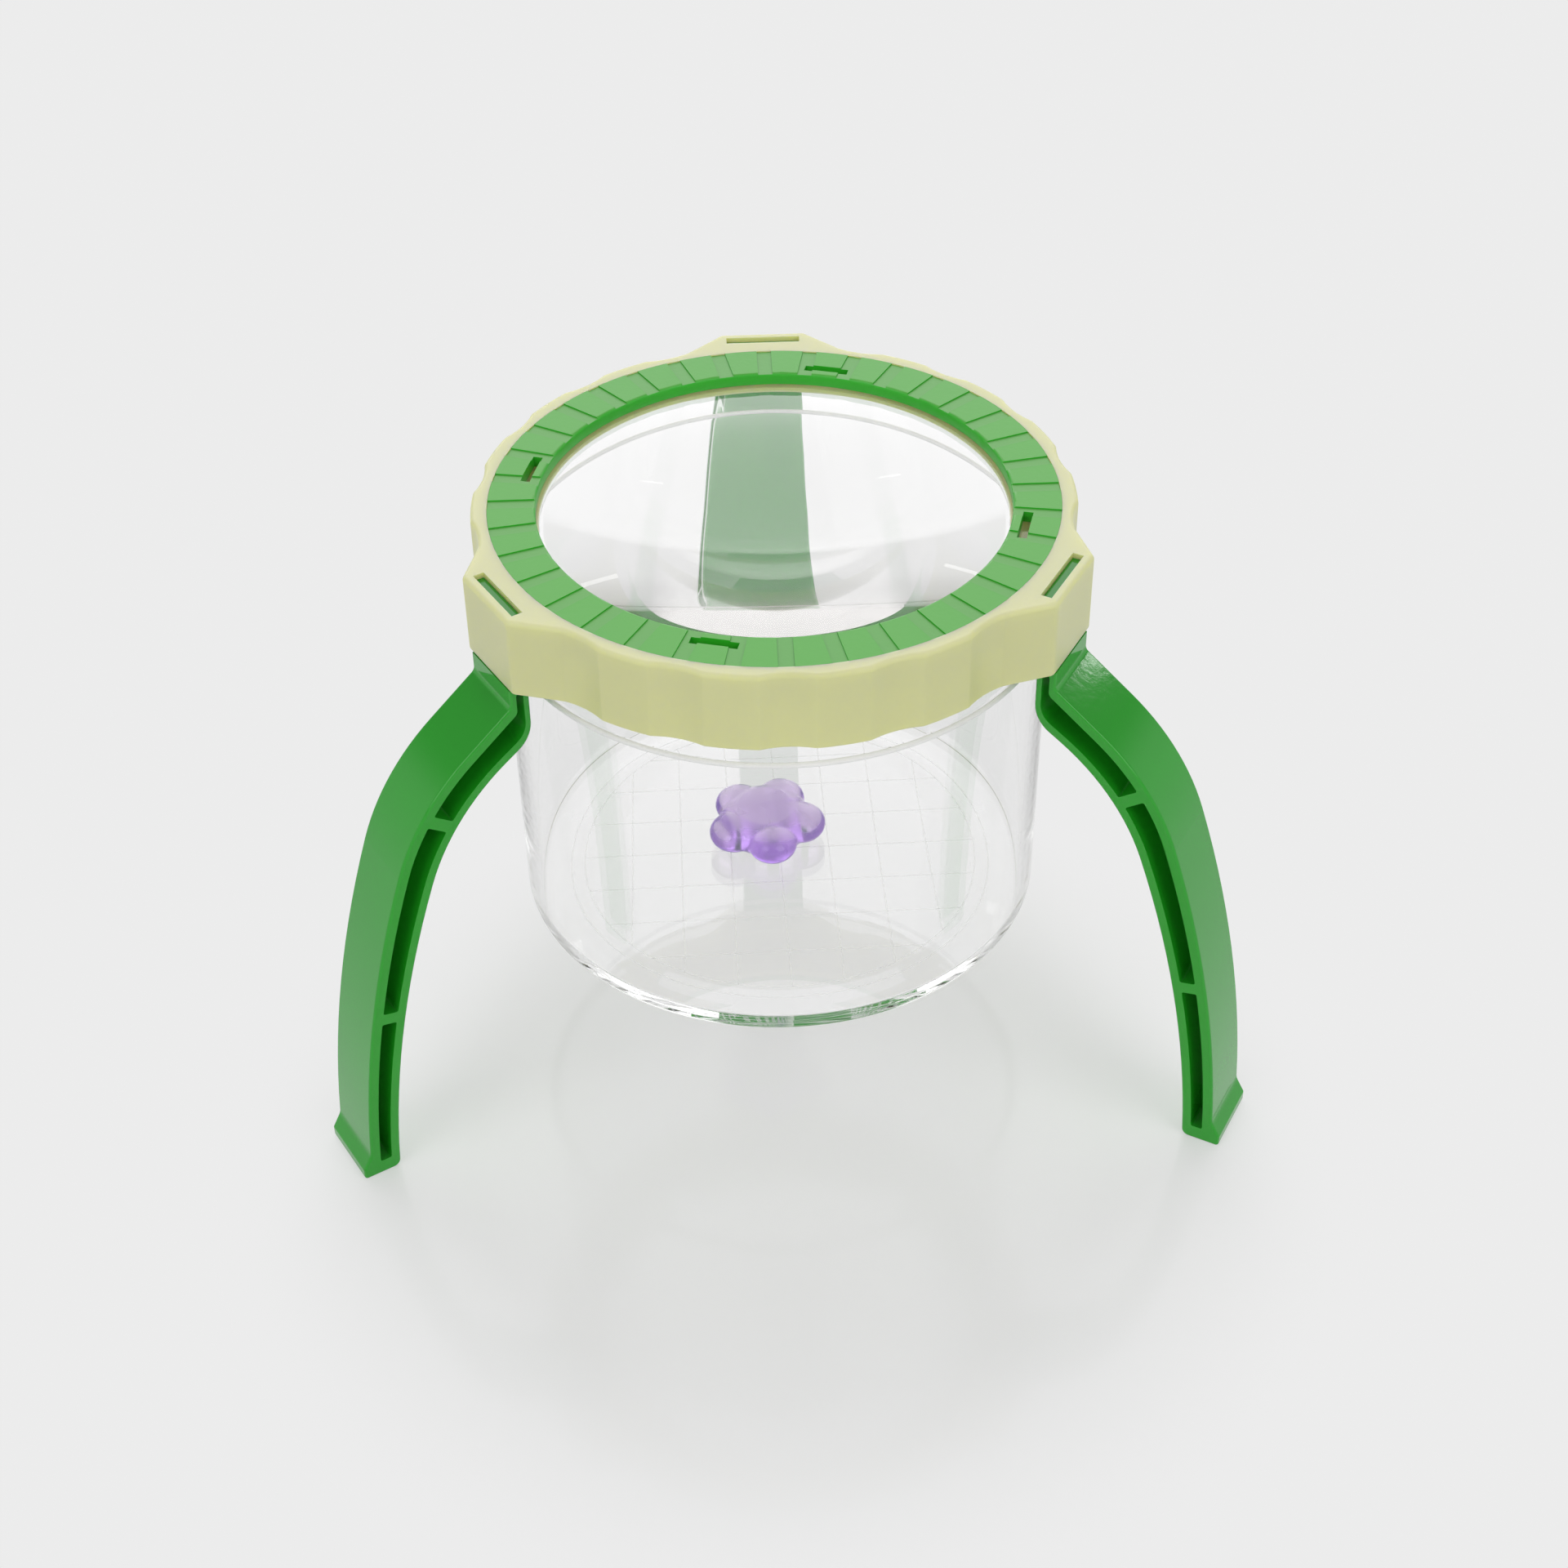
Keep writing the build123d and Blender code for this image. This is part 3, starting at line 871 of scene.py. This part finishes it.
# %% Grid tree
GRID_SINK = 0.01
GRID_RING_STEPS = 160
GRID_SIZES = {
    "Pitch": 10 * MM,
    "Lines": 7,
    "Trim Radius": 39.8 * MM,
    "Foot Radius": 42.6 * MM,
    "Line Width": 0.28 * MM,
    "Line Height": 0.07 * MM,
    "Underside": (UNDERSIDE + GRID_SINK) * MM,
    "Turn": radians(1.0),
}
grid_tree, entry, leave = new_tree("measuring_grid", GRID_SIZES)
size, nodes, link = entry.outputs, grid_tree.nodes, grid_tree.links.new
gaps = add_math(grid_tree, "SUBTRACT", size["Lines"], 1)
first = add_math(grid_tree, "MULTIPLY", add_math(grid_tree, "MULTIPLY", gaps, -0.5), size["Pitch"])
row = nodes.new("GeometryNodeMeshLine")
link(size["Lines"], row.inputs["Count"])
link(spread(grid_tree, X=first), row.inputs["Start Location"])
link(spread(grid_tree, X=size["Pitch"]), row.inputs["Offset"])
spot = nodes.new("GeometryNodeInputPosition")
split = nodes.new("ShaderNodeSeparateXYZ")
link(spot.outputs[0], split.inputs[0])
square = add_math(grid_tree, "POWER", size["Trim Radius"], 2)
away = add_math(grid_tree, "POWER", split.outputs["X"], 2)
chord = add_math(grid_tree, "SQRT", add_math(grid_tree, "SUBTRACT", square, away), 0)
rule_line = add_node(grid_tree, "GeometryNodeCurvePrimitiveLine", Start=(0, -1, 0), End=(0, 1, 0))
lines = nodes.new("GeometryNodeInstanceOnPoints")
link(row.outputs[0], lines.inputs["Points"])
link(rule_line.outputs[0], lines.inputs["Instance"])
link(spread(grid_tree, X=1, Y=chord, Z=1), lines.inputs["Scale"])
real_lines = nodes.new("GeometryNodeRealizeInstances")
link(lines.outputs[0], real_lines.inputs[0])
across = add_node(grid_tree, "GeometryNodeTransform", Rotation=(0, 0, pi / 2))
link(real_lines.outputs[0], across.inputs[0])
rings = []
for radius in ("Trim Radius", "Foot Radius"):
    ring = add_node(grid_tree, "GeometryNodeCurvePrimitiveCircle", Resolution=GRID_RING_STEPS)
    link(size[radius], ring.inputs["Radius"])
    rings.append(ring.outputs[0])
upright = nodes.new("GeometryNodeSetCurveNormal")
upright.mode = "Z_UP"
link(join(grid_tree, real_lines.outputs[0], across.outputs[0], *rings), upright.inputs[0])
profile = nodes.new("GeometryNodeCurvePrimitiveQuadrilateral")
link(size["Line Width"], profile.inputs["Width"])
link(size["Line Height"], profile.inputs["Height"])
swept = add_node(grid_tree, "GeometryNodeCurveToMesh", Fill_Caps=True)
link(upright.outputs[0], swept.inputs["Curve"])
link(profile.outputs[0], swept.inputs["Profile Curve"])
drop = add_math(grid_tree, "MULTIPLY", size["Line Height"], 0.5)
level = add_math(grid_tree, "SUBTRACT", size["Underside"], drop)
settle = nodes.new("GeometryNodeTransform")
link(swept.outputs[0], settle.inputs[0])
link(spread(grid_tree, Z=level), settle.inputs["Translation"])
link(spread(grid_tree, Z=size["Turn"]), settle.inputs["Rotation"])
close_tree(grid_tree, settle.outputs[0], leave, grid_frost)
print("tree", grid_tree.name, list(GRID_SIZES))

# %% Grid under the cup's floor
floor_grid = grow("floor_grid", grid_tree, GRID_SIZES)
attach(floor_grid, "jar")
heights = [v.co.z / MM for v in floor_grid.data.vertices]
print("grid from", round(min(heights), 2), "to", round(max(heights), 2), "mm")

# %% [markdown]
# ## Flower
# The specimen is a cast purple flower with five ball-like petals and a flat top.
# Five balls on a circle and a wider one in the middle are cut level on top and underneath, then
# melted into one skin by a voxel remesh, which rounds the valleys as a casting does.

# %% Flower tree
BALL_STEPS = 48
FLOWER_SIZES = {
    "Petals": 5,
    "Ring Radius": 7.3 * MM,
    "Petal Radius": 5.0 * MM,
    "Petal Height": 7.0 * MM,
    "Heart Radius": 9.4 * MM,
    "Heart Height": 9.6 * MM,
    "Middle": 3.5 * MM,
    "Top": 7.3 * MM,
    "Turn": radians(9.0 - 90.0),
}
flower_tree, entry, leave = new_tree("petal_ring", FLOWER_SIZES)
size, nodes, link = entry.outputs, flower_tree.nodes, flower_tree.links.new


def flat_ball(tree, radius, height):
    """A ball of this radius, squashed to this height."""
    ball = add_node(
        tree, "GeometryNodeMeshUVSphere", Segments=BALL_STEPS, Rings=BALL_STEPS // 2, Radius=1.0
    )
    squash = spread(tree, X=radius, Y=radius, Z=add_math(tree, "MULTIPLY", height, 0.5))
    shaped = tree.nodes.new("GeometryNodeTransform")
    tree.links.new(ball.outputs[0], shaped.inputs[0])
    tree.links.new(squash, shaped.inputs["Scale"])
    return shaped.outputs[0]


circle = nodes.new("GeometryNodeMeshCircle")
link(size["Petals"], circle.inputs["Vertices"])
link(size["Ring Radius"], circle.inputs["Radius"])
petal = flat_ball(flower_tree, size["Petal Radius"], size["Petal Height"])
petals = nodes.new("GeometryNodeInstanceOnPoints")
link(circle.outputs[0], petals.inputs["Points"])
link(petal, petals.inputs["Instance"])
heart = flat_ball(flower_tree, size["Heart Radius"], size["Heart Height"])
settle = nodes.new("GeometryNodeTransform")
link(join(flower_tree, petals.outputs[0], heart), settle.inputs[0])
link(spread(flower_tree, Z=size["Turn"]), settle.inputs["Rotation"])
real = nodes.new("GeometryNodeRealizeInstances")
link(settle.outputs[0], real.inputs[0])
spot = nodes.new("GeometryNodeInputPosition")
split = nodes.new("ShaderNodeSeparateXYZ")
link(spot.outputs[0], split.inputs[0])
raised = add_math(flower_tree, "ADD", split.outputs["Z"], size["Middle"])
above_floor = add_math(flower_tree, "MAXIMUM", raised, 0.0)
level = add_math(flower_tree, "MINIMUM", above_floor, size["Top"])
cut = nodes.new("GeometryNodeSetPosition")
link(real.outputs[0], cut.inputs["Geometry"])
link(spread(flower_tree, X=split.outputs["X"], Y=split.outputs["Y"], Z=level), cut.inputs["Position"])
close_tree(flower_tree, cut.outputs[0], leave, gem_purple)
print("tree", flower_tree.name, list(FLOWER_SIZES))

# %% Cast flower
FLOWER_SPOT = Vector((-2.7, 3.6, FLOOR_TOP)) * MM
FLOWER_CLEARANCE = 0.06 * MM
MELT_GRAIN = 0.22 * MM
MELT_SMOOTHING = 0.5
MELT_ROUNDS = 16
melting = (
    ("REMESH", {"mode": "VOXEL", "voxel_size": MELT_GRAIN, "use_smooth_shade": True}),
    ("SMOOTH", {"factor": MELT_SMOOTHING, "iterations": MELT_ROUNDS}),
)
flower_gem = grow("flower_gem", flower_tree, FLOWER_SIZES, melting)
for vertex in flower_gem.data.vertices:
    height = min(max(vertex.co.z, FLOWER_CLEARANCE), FLOWER_SIZES["Top"])
    vertex.co = FLOWER_SPOT + Vector((vertex.co.x, vertex.co.y, height))
flower_gem.data.shade_smooth()
flower_gem.data.materials.clear()
flower_gem.data.materials.append(gem_purple)
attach(flower_gem, "flower")
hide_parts("flower")
print("flower's top at", round(max(v.co.z for v in flower_gem.data.vertices) / MM, 2), "mm")
